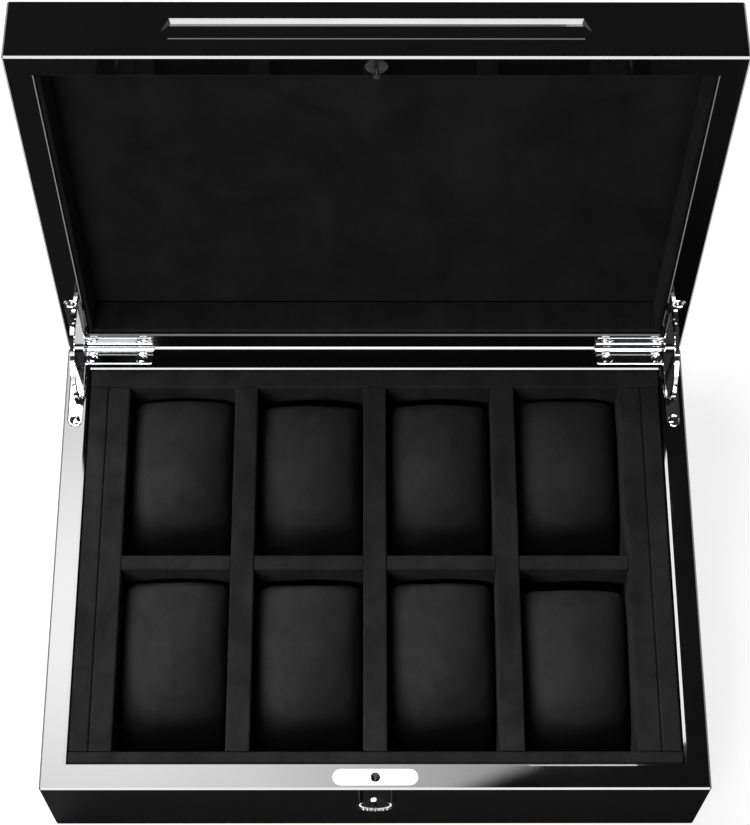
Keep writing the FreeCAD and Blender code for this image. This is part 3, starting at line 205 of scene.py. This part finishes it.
def velvet_material(name, dark, light, marks):
    """Black velvet: the nap's clouds and any painted shade in its colour, the clouds in its dullness, the
    pile in its bump.
    """
    material, tree, socket = finish_material(name, {
        "Specular IOR Level": 0.0, "Sheen Weight": VELVET_SHEEN, "Sheen Roughness": 0.42,
        "Sheen Tint": (0.8, 0.8, 0.8, 1)})
    nap_with_shade = place_effect(tree, nap_and_shade, marks)
    share, colour = two_tone(tree, dark, light)
    tufts = shader_node(tree, "Bump", {"Strength": 0.6, "Distance": 0.0003})
    wire(tree, (nap_with_shade["Lean And Shade"], share), (colour, socket["Base Color"]),
         (nap_with_shade["Roughness"], socket["Roughness"]),
         (nap_with_shade["Pile"], tufts.inputs["Height"]), (tufts.outputs["Normal"], socket["Normal"]))
    return material


tray_velvet = velvet_material("tray_velvet", (0.0115, 0.0115, 0.0118), (0.0290, 0.0288, 0.0291), {
    "Cloud Scale": 38.0, "Stroke Scale": 70.0, "Pile Scale": 1500.0, "Pile Share": 0.3})
dress(tray_velvet, "front_lining", "back_lining", "left_lining", "right_lining", "tray_floor_board",
      "tray_left_end", "tray_right_end", "tray_divider_1", "tray_divider_2", "tray_divider_3",
      "cross_divider_1", "cross_divider_2", "cross_divider_3", "cross_divider_4")


# Watch pillows
# Eight loose pillows: a foam core with a crowned top, in a tight cover of black velvet closed underneath.
# Each cover starts a little small and is blown up by a cloth simulation, its seat held flat on the tray.
COVER_START = 0.0004
COVER_MESH = 0.004
COVER_SWELL = 0.0006
SEAT_HEIGHT = 0.003
STUFFING_FRAMES = 20
STUFFING_PRESSURE = 4.0
DENT_SCALE = 38.0
DENT_DEPTH = 0.0003
DENT_STEP, DENT_START = 2.79, 1.53
# A cover falls lower than its core by these shares of the height, at its sides, its front and its back.
SIDE_FALL, FRONT_FALL, BACK_FALL = 0.045, 0.06, 0.07
# The pillows get painted shade: darker to the front and the right, where they face away from the light.
pillow_velvet = velvet_material("pillow_velvet", (0.0060, 0.0060, 0.0062), (0.0385, 0.0382, 0.0386), {
    "Cloud Scale": 46.0, "Stroke Scale": 85.0, "Pile Scale": 1300.0, "Pile Share": 0.34,
    "Least Lean": 0.5, "Turned Away": 0.1})


def remeshed(piece, size):
    """The piece's mesh, rebuilt in even cells of this size."""
    cells = piece.modifiers.new("cells", "REMESH")
    cells.mode = "VOXEL"
    cells.voxel_size = size
    even = bpy.data.meshes.new_from_object(piece.evaluated_get(bpy.context.evaluated_depsgraph_get()))
    piece.modifiers.remove(cells)
    return even


covers = {}
for name in [n for n in sorted(cad_piece) if n.startswith("pillow_")]:
    cover = bpy.data.objects.new(name + "_cover", cad_piece[name].data.copy())
    bpy.context.scene.collection.objects.link(cover)
    bpy.context.view_layer.update()
    cover.data = remeshed(cover, COVER_MESH)
    foot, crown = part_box(name)
    seat, middle, half = foot.z, (foot + crown) / 2, (crown - foot) / 2
    dents_from = Vector((len(covers) * DENT_STEP, DENT_START, 0.0))
    for point in cover.data.vertices:
        across, forward = (point.co.x - middle.x) / half.x, (middle.y - point.co.y) / half.y
        fall = SIDE_FALL * across ** 2 + (FRONT_FALL if forward > 0 else BACK_FALL) * abs(forward) ** 3
        point.co.z = seat + (point.co.z - seat) * (1 - fall)
    for point, normal in [(v, v.normal.copy()) for v in cover.data.vertices]:
        dent = noise.noise(point.co * DENT_SCALE + dents_from) * DENT_DEPTH
        point.co -= normal * (COVER_START + dent)
        point.co.z = max(point.co.z, seat)
    held = cover.vertex_groups.new(name="seat")
    held.add([v.index for v in cover.data.vertices if v.co.z < seat + SEAT_HEIGHT], 1.0, "REPLACE")
    covers[name] = cover

for cover in covers.values():
    stuffing = cover.modifiers.new("stuffing", "CLOTH")
    stuffing.settings.use_pressure = True
    stuffing.settings.uniform_pressure_force = STUFFING_PRESSURE
    stuffing.settings.vertex_group_mass = "seat"
    stuffing.settings.effector_weights.gravity = 0.0
    stuffing.point_cache.frame_end = STUFFING_FRAMES
for step in range(1, STUFFING_FRAMES + 1):
    bpy.context.scene.frame_set(step)
settled = bpy.context.evaluated_depsgraph_get()
for cover in covers.values():
    swollen = [v.co.copy() for v in cover.evaluated_get(settled).data.vertices]
    cover.modifiers.clear()
    for point, reached in zip(cover.data.vertices, swollen):
        move = reached - point.co
        if move.length > COVER_SWELL:
            move *= COVER_SWELL / move.length
        point.co += move
bpy.context.scene.frame_set(1)

for name, cover in covers.items():
    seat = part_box(name)[0].z
    for point in cover.data.vertices:
        point.co.z = max(point.co.z, seat)
    cover.vertex_groups.clear()
    cover.data.shade_smooth()
    cover.modifiers.new("smooth_cover", "SUBSURF").render_levels = 1
    cover.data.materials.clear()
    cover.data.materials.append(pillow_velvet)
    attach(cover, name)
    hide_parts(name)


# Stay hinges
# Two L-shaped hinges of stamped steel, chromed, with their leaves let into the rims.
# A pin joins the knuckles, a curved arm stops the lid, and three cross-slotted screws hold each leaf.
def plated_material(name, dull, bright, values, marks):
    """Bare or plated metal: smears in its colour, smears and hair scratches in its gloss."""
    material, tree, socket = finish_material(name, {"Metallic": 1.0, **values})
    polish = place_effect(tree, polish_marks, marks)
    share, colour = two_tone(tree, dull, bright)
    wire(tree, (polish["Smear"], share), (colour, socket["Base Color"]),
         (polish["Roughness"], socket["Roughness"]))
    return material


chrome = plated_material("chrome_plate", (0.70, 0.71, 0.73), (0.90, 0.90, 0.91), {}, {
    "Smear Scale": 160.0, "Scratch Scale": 2200.0, "Smoothest": 0.03, "Roughest": 0.08})
steel = plated_material("turned_steel", (0.42, 0.42, 0.43), (0.60, 0.60, 0.61), {"Anisotropic": 0.4}, {
    "Smear Scale": 220.0, "Scratch Scale": 1500.0, "Smoothest": 0.22, "Roughest": 0.42})
for side in ("left", "right"):
    dress(chrome, side + "_hinge_base_leaf", side + "_hinge_lid_leaf", side + "_stay_arm",
          side + "_hinge_base_screws", side + "_hinge_lid_screws")
    dress(steel, side + "_hinge_pin")


# Lock
# A chromed plate on the front rim, a steel case and bolt in the front wall, and a round plate outside.
# The plug turns in the round plate, whose dish is stamped with a plain ring of beads.
dress(chrome, "lock_plate", "lock_rivets", "lock_front_plate", "lock_plug")
dress(steel, "lock_case", "lock_bolt")
BEADS = 36
BEAD_RING = 0.0080
BEAD_RADIUS = 0.00042
BEAD_CUTS = (12, 8)
DISH_Y = -0.1279
plug_low, plug_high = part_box("lock_plug")
plug_x, plug_z = (plug_low.x + plug_high.x) / 2, (plug_low.z + plug_high.z) / 2
beads = bmesh.new()
for number in range(BEADS):
    turn = 2 * math.pi * number / BEADS
    place = (plug_x + BEAD_RING * math.cos(turn), DISH_Y, plug_z + BEAD_RING * math.sin(turn))
    bmesh.ops.create_uvsphere(beads, u_segments=BEAD_CUTS[0], v_segments=BEAD_CUTS[1],
                              radius=BEAD_RADIUS, matrix=Matrix.Translation(place))
bead_mesh = bpy.data.meshes.new("lock_bead_ring")
beads.to_mesh(bead_mesh)
beads.free()
bead_mesh.shade_smooth()
bead_mesh.materials.append(chrome)
bead_ring = bpy.data.objects.new("lock_bead_ring", bead_mesh)
bpy.context.scene.collection.objects.link(bead_ring)
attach(bead_ring, "base")


# Walls and top board of the lid
# The lid is made as the base is: four mitred walls and a board, lacquered black and polished.
# A long finger groove is cut into the outside of the front wall.
dress(lacquer, "lid_front_wall", "lid_back_wall", "lid_left_wall", "lid_right_wall", "lid_top_board")


# Padded panel and linings of the lid
# A board with a thin foam sheet, covered in velvet and pressed in under the top board.
# Four velvet strips stand round it, so that its edges roll down into a crease beside them.
HINGE_LINE = Vector((0.0, 0.125, 0.0702))
LID_ANGLE = math.radians(94.5)
LID_OPEN = (Matrix.Translation(HINGE_LINE) @ Matrix.Rotation(-LID_ANGLE, 4, "X")
            @ Matrix.Translation(-HINGE_LINE))
PANEL_HALF = (0.157, 0.112)
PANEL_SEEN = (0.1545, 0.1095)
PANEL_BACK = 0.0949
PANEL_FACE = 0.0904
PANEL_CELLS = (105, 75)
EDGE_ROLL = 0.010
EDGE_SINK = 0.0011
PANEL_CROWN = 0.0005
LUMP_SCALE = 16
LUMP_HEIGHT = 0.0003
LUMP_PATTERN = 3.0
panel_velvet = velvet_material("lid_velvet", (0.0075, 0.0075, 0.0077), (0.0180, 0.0179, 0.0181), {
    "Cloud Scale": 20.0, "Stroke Scale": 34.0, "Pile Scale": 1500.0, "Pile Share": 0.26})
pad = bmesh.new()
rows = []
for row in range(PANEL_CELLS[1] + 1):
    line = []
    for column in range(PANEL_CELLS[0] + 1):
        x = PANEL_HALF[0] * (2 * column / PANEL_CELLS[0] - 1)
        y = PANEL_HALF[1] * (2 * row / PANEL_CELLS[1] - 1)
        inside = max(0.0, min(PANEL_SEEN[0] - abs(x), PANEL_SEEN[1] - abs(y)))
        rise = 1 - (1 - min(1.0, inside / EDGE_ROLL)) ** 3
        lump = noise.noise((x * LUMP_SCALE, y * LUMP_SCALE, LUMP_PATTERN)) * LUMP_HEIGHT
        face = PANEL_FACE + EDGE_SINK - (EDGE_SINK + PANEL_CROWN + lump) * rise
        line.append((pad.verts.new((x, y, face)), pad.verts.new((x, y, PANEL_BACK))))
    rows.append(line)
for row in range(PANEL_CELLS[1]):
    for column in range(PANEL_CELLS[0]):
        corner = [rows[row][column], rows[row][column + 1], rows[row + 1][column + 1], rows[row + 1][column]]
        pad.faces.new([c[0] for c in reversed(corner)])
        pad.faces.new([c[1] for c in corner])
rim = ([rows[0][c] for c in range(PANEL_CELLS[0])]
       + [rows[r][-1] for r in range(PANEL_CELLS[1])]
       + [rows[-1][c] for c in range(PANEL_CELLS[0], 0, -1)]
       + [rows[r][0] for r in range(PANEL_CELLS[1], 0, -1)])
for here, there in zip(rim, rim[1:] + rim[:1]):
    pad.faces.new([here[0], there[0], there[1], here[1]])
pad.transform(LID_OPEN)
pad_mesh = bpy.data.meshes.new("lid_padded_panel")
pad.to_mesh(pad_mesh)
pad.free()
pad_mesh.shade_smooth()
pad_mesh.materials.append(panel_velvet)
panel = bpy.data.objects.new("lid_padded_panel", pad_mesh)
bpy.context.scene.collection.objects.link(panel)
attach(panel, "lid")
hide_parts("lid_panel")
# The strip along the hinges wears the tray's lighter velvet, not the lid's: painted light, as it lies in
# shade.
dress(panel_velvet, "lid_front_lining", "lid_left_lining", "lid_right_lining")
dress(tray_velvet, "lid_back_lining")


# Catch stud
# A turned stud with a flange, of blackened steel, screwed into the lid's front rim.
# It drops through the hole of the lock plate, where the bolt slides across its neck.
blackened = plated_material("blackened_steel", (0.07, 0.07, 0.073), (0.13, 0.13, 0.133), {}, {
    "Smear Scale": 220.0, "Scratch Scale": 1500.0, "Smoothest": 0.22, "Roughest": 0.42})
dress(blackened, "catch_stud")


# Floor, light and camera
# The box stands on a pale studio table, with a softbox hung over its back and a fill lamp before it.
# The white table runs up into a pale wall all round, and the ceiling above is dark.
FLOOR_HALF = 6.0
FLOOR_GLOW = 0.84
floor_mesh = bpy.data.meshes.new("studio_floor")
floor_mesh.from_pydata([(-FLOOR_HALF, -FLOOR_HALF, 0.0), (FLOOR_HALF, -FLOOR_HALF, 0.0),
                        (FLOOR_HALF, FLOOR_HALF, 0.0), (-FLOOR_HALF, FLOOR_HALF, 0.0)], [], [(0, 1, 2, 3)])
floor = bpy.data.objects.new("studio_floor", floor_mesh)
bpy.context.scene.collection.objects.link(floor)
paper, tree, socket = finish_material("pale_paper", {
    "Base Color": (0.30, 0.30, 0.30, 1), "Roughness": 0.9, "Specular IOR Level": 0.0,
    "Emission Color": (1, 1, 1, 1)})
seen = shader_node(tree, "LightPath").outputs
either = shader_node(tree, "Math", operation="MAXIMUM")
seen_any = shader_node(tree, "Math", operation="MAXIMUM")
glow = shader_node(tree, "Math", {1: FLOOR_GLOW}, operation="MULTIPLY")
wire(tree, (seen["Is Camera Ray"], either.inputs[0]), (seen["Is Glossy Ray"], either.inputs[1]),
     (either.outputs[0], seen_any.inputs[0]), (seen["Is Transmission Ray"], seen_any.inputs[1]),
     (seen_any.outputs[0], glow.inputs[0]), (glow.outputs[0], socket["Emission Strength"]))
floor_mesh.materials.append(paper)


def gloss_sheet(name, corners, faces):
    """The mesh of a studio sheet that shows only in gloss and metal."""
    mesh = bpy.data.meshes.new(name)
    mesh.from_pydata(corners, [], faces)
    sheet = bpy.data.objects.new(name, mesh)
    bpy.context.scene.collection.objects.link(sheet)
    sheet.visible_camera = sheet.visible_shadow = False
    sheet.visible_diffuse = sheet.visible_transmission = False
    return mesh


def dark_card(name, corners, faces):
    """A black card that only gloss shows: its shader tree and its shader's inputs."""
    paper, tree, socket = finish_material(name + "_paper", {
        "Base Color": (0.030, 0.030, 0.030, 1), "Roughness": 0.9, "Specular IOR Level": 0.0})
    gloss_sheet(name, corners, faces).materials.append(paper)
    return tree, socket


# A dark card lies under the box and shows only in its gloss, so that the walls stay black near their foot.
# It fades out all round, and is narrower at the back, where the lid's inner edges mirror the white table.
CARD_X = 0.42
CARD_FRONT, CARD_BACK = -0.30, 0.26
CARD_Z = 0.0004
FADE_FRONT = (-0.29, -0.16)
FADE_BACK = (0.14, 0.25)
# At these two depths its sides begin and end their fade at these distances from the middle.
CARD_ENDS = (-0.225, 0.225)
FADE_FROM = (0.254, 0.162)
FADE_TO = (0.36, 0.170)
tree, socket = dark_card("dark_card", [
    (-CARD_X, CARD_FRONT, CARD_Z), (CARD_X, CARD_FRONT, CARD_Z),
    (CARD_X, CARD_BACK, CARD_Z), (-CARD_X, CARD_BACK, CARD_Z)], [(0, 1, 2, 3)])
where = shader_node(tree, "SeparateXYZ")
beside = shader_node(tree, "Math", operation="ABSOLUTE")
sides = shader_node(tree, "MapRange", {"To Min": 1.0, "To Max": 0.0}, interpolation_type="SMOOTHSTEP")
front = shader_node(tree, "MapRange", {"From Min": FADE_FRONT[0], "From Max": FADE_FRONT[1]},
                    interpolation_type="SMOOTHSTEP")
back = shader_node(tree, "MapRange", {"From Min": FADE_BACK[0], "From Max": FADE_BACK[1],
                                      "To Min": 1.0, "To Max": 0.0}, interpolation_type="SMOOTHSTEP")
both_ends = shader_node(tree, "Math", operation="MULTIPLY")
all_round = shader_node(tree, "Math", operation="MULTIPLY")
wire(tree, (shader_node(tree, "TexCoord").outputs["Object"], where.inputs[0]),
     (where.outputs["X"], beside.inputs[0]), (beside.outputs[0], sides.inputs["Value"]),
     (where.outputs["Y"], front.inputs["Value"]), (where.outputs["Y"], back.inputs["Value"]),
     (front.outputs["Result"], both_ends.inputs[0]), (back.outputs["Result"], both_ends.inputs[1]),
     (both_ends.outputs[0], all_round.inputs[0]), (sides.outputs["Result"], all_round.inputs[1]),
     (all_round.outputs[0], socket["Alpha"]))
for bound, widths in (("From Min", FADE_FROM), ("From Max", FADE_TO)):
    width = shader_node(tree, "MapRange", {"From Min": CARD_ENDS[0], "From Max": CARD_ENDS[1],
                                           "To Min": widths[0], "To Max": widths[1]})
    wire(tree, (where.outputs["Y"], width.inputs["Value"]), (width.outputs["Result"], sides.inputs[bound]))

# Two flags stand at the left and right before the box, where the round plate of the lock mirrors them.
FLAG_X = 0.265
FLAG_FRONT, FLAG_BACK = -0.36, -0.15
FLAG_TOP = 0.14
LEFT_FLAG = [(-FLAG_X, FLAG_FRONT, CARD_Z), (-FLAG_X, FLAG_BACK, CARD_Z),
             (-FLAG_X, FLAG_BACK, FLAG_TOP), (-FLAG_X, FLAG_FRONT, FLAG_TOP)]
RIGHT_FLAG = [(-x, y, z) for x, y, z in LEFT_FLAG]
dark_card("dark_flags", LEFT_FLAG + RIGHT_FLAG, [(0, 1, 2, 3), (4, 5, 6, 7)])


def glowing_sheet(name, corners):
    """A lit sheet that only gloss shows: its shader tree and its lamp node."""
    cloth = bpy.data.materials.new(name + "_cloth")
    cloth.use_nodes = True
    tree = cloth.node_tree
    tree.nodes.clear()
    lamp = shader_node(tree, "Emission")
    wire(tree, (lamp.outputs[0], shader_node(tree, "OutputMaterial").inputs["Surface"]))
    gloss_sheet(name, corners, [(0, 1, 2, 3)]).materials.append(cloth)
    return tree, lamp


# The softbox hangs over the back of the box, brightest round its bulb and dimmer to the right.
# Its front edge is soft and runs askew, through one point and with this slope.
SOFTBOX_X = (-0.62, 0.20)
SOFTBOX_Y = (-0.02, 0.98)
SOFTBOX_Z = 1.45
SOFTBOX_EDGE = (0.113, 0.252)
SOFTBOX_YAW = 0.356
SOFTBOX_SOFT = 0.014
SOFTBOX_FALL = [(-0.136, 1.0), (-0.065, 0.89), (0.075, 0.64), (0.108, 0.58), (0.160, 0.50), (0.195, 0.40)]
BULB = (-0.34, 0.47, SOFTBOX_Z)
BULB_SPREAD = (0.04, 0.34)
BULB_STRENGTH = 8.2
CLOTH_STRENGTH = 5.6
(x0, x1), (y0, y1) = SOFTBOX_X, SOFTBOX_Y
tree, lamp = glowing_sheet("softbox", [
    (x0, y0, SOFTBOX_Z), (x0, y1, SOFTBOX_Z), (x1, y1, SOFTBOX_Z), (x1, y0, SOFTBOX_Z)])
where = shader_node(tree, "TexCoord").outputs["Object"]
across = shader_node(tree, "SeparateXYZ")
along = shader_node(tree, "MapRange", {"From Min": x0, "From Max": x1})
fall = shader_node(tree, "ValToRGB")
stops = fall.color_ramp.elements
for number, (x, level) in enumerate(SOFTBOX_FALL):
    position = (x - x0) / (x1 - x0)
    stop = stops[number] if number < len(stops) else stops.new(position)
    stop.position = position
    stop.color = (level, level, level, 1)
from_bulb = shader_node(tree, "VectorMath", {1: BULB}, operation="DISTANCE")
hot = shader_node(tree, "MapRange", {"From Min": BULB_SPREAD[0], "From Max": BULB_SPREAD[1],
                                     "To Min": BULB_STRENGTH, "To Max": CLOTH_STRENGTH},
                  interpolation_type="SMOOTHSTEP")
slant = shader_node(tree, "Math", {1: -SOFTBOX_YAW}, operation="MULTIPLY_ADD")
edge_y = SOFTBOX_EDGE[1] - SOFTBOX_YAW * SOFTBOX_EDGE[0]
edge = shader_node(tree, "MapRange", {"From Min": edge_y - SOFTBOX_SOFT, "From Max": edge_y + SOFTBOX_SOFT},
                   interpolation_type="SMOOTHSTEP")
strength = shader_node(tree, "Math", operation="MULTIPLY")
wire(tree, (where, across.inputs[0]), (across.outputs["X"], along.inputs["Value"]),
     (along.outputs["Result"], fall.inputs["Fac"]), (fall.outputs["Color"], lamp.inputs["Color"]),
     (where, from_bulb.inputs[0]), (from_bulb.outputs["Value"], hot.inputs["Value"]),
     (across.outputs["X"], slant.inputs[0]), (across.outputs["Y"], slant.inputs[2]),
     (slant.outputs[0], edge.inputs["Value"]), (hot.outputs["Result"], strength.inputs[0]),
     (edge.outputs["Result"], strength.inputs[1]), (strength.outputs[0], lamp.inputs["Strength"]))


def upright(x, y, z):
    """The corners of a sheet that stands across the room at y, between its ends in x and in z."""
    return [(x[0], y, z[0]), (x[1], y, z[0]), (x[1], y, z[1]), (x[0], y, z[1])]


# White reflector cards, one for each set of edges and leaves that mirrors it, show only in gloss and metal.
# The strip light hangs at the softbox's right, for the narrow bevels inside the base's rims.
CARDS_FRONT = -1.1
CARDS_BACK = 2.0
for name, strength, corners in (
        ("strip_light", 8.0, [(0.20, 0.284, SOFTBOX_Z), (0.20, 0.68, SOFTBOX_Z),
                              (0.335, 0.68, SOFTBOX_Z), (0.335, 0.332, SOFTBOX_Z)]),
        ("front_card", 8.0, upright((-0.9, 0.9), CARDS_FRONT, (0.20, 0.95))),
        ("groove_card", 8.0, upright((-0.3, 0.3), CARDS_FRONT, (1.04, 1.121))),
        ("edge_card", 1.6, upright((-0.6, 0.6), CARDS_FRONT, (0.96, 1.02))),
        ("hinge_card", 0.9, upright((-0.5, -0.325), CARDS_FRONT, (1.60, 1.86))),
        ("high_card", 8.0, upright((-0.6, 0.6), CARDS_FRONT, (1.43, 1.55))),
        ("left_card", 8.0, [(-1.0, 0.22, 0.10), (-1.0, 0.9, 0.10), (-1.0, 0.9, 0.45), (-1.0, 0.22, 0.45)]),
        ("back_card", 1.5, upright((-0.6, 0.6), CARDS_BACK, (1.54, 1.71)))):
    tree, lamp = glowing_sheet(name, corners)
    lamp.inputs["Strength"].default_value = strength

# The light of the softbox, and of a fill lamp before the box, comes from two lamps that nothing mirrors.
for name, place, target, size, power in (
        ("softbox_lamp", (-0.60, 0.45, 1.35), (0.0, 0.0, 0.05), (0.90, 0.90), 22.5),
        ("fill_lamp", (-0.55, -1.15, 0.85), (0.0, 0.14, 0.20), (0.80, 0.30), 11.5)):
    light = bpy.data.lights.new(name, "AREA")
    light.shape = "RECTANGLE"
    light.energy = power
    light.size, light.size_y = size
    lamp = bpy.data.objects.new(name, light)
    lamp.location = place
    lamp.rotation_euler = (Vector(target) - lamp.location).to_track_quat("-Z", "Y").to_euler()
    lamp.visible_glossy = False
    bpy.context.scene.collection.objects.link(lamp)

# The wall's height and the ceiling's start are given by how steeply one looks up at them.
WALL_TOP = 0.10
CEILING_FROM = 0.28
CEILING = 0.03
world = bpy.data.worlds.new("studio")
bpy.context.scene.world = world
world.use_nodes = True
tree = world.node_tree
background = tree.nodes["Background"]
height = shader_node(tree, "SeparateXYZ")
room = shader_node(tree, "MapRange", {"From Min": WALL_TOP, "From Max": CEILING_FROM,
                                      "To Min": 1.0, "To Max": CEILING}, interpolation_type="SMOOTHSTEP")
wire(tree, (shader_node(tree, "TexCoord").outputs["Generated"], height.inputs[0]),
     (height.outputs["Z"], room.inputs["Value"]), (room.outputs["Result"], background.inputs["Color"]))

# The camera looks down on the box from before it, through a long lens.
CAMERA_TURN = (25.365, -0.225, -0.101)
lens = bpy.data.cameras.new("camera")
lens.lens = 91.84
lens.sensor_width = 36.0
lens.clip_start = 0.01
camera = bpy.data.objects.new("camera", lens)
camera.location = (-0.00479, -0.40805, 1.11092)
camera.rotation_euler = [math.radians(angle) for angle in CAMERA_TURN]
bpy.context.scene.collection.objects.link(camera)
bpy.context.scene.camera = camera
bpy.context.scene.view_settings.view_transform = "Standard"
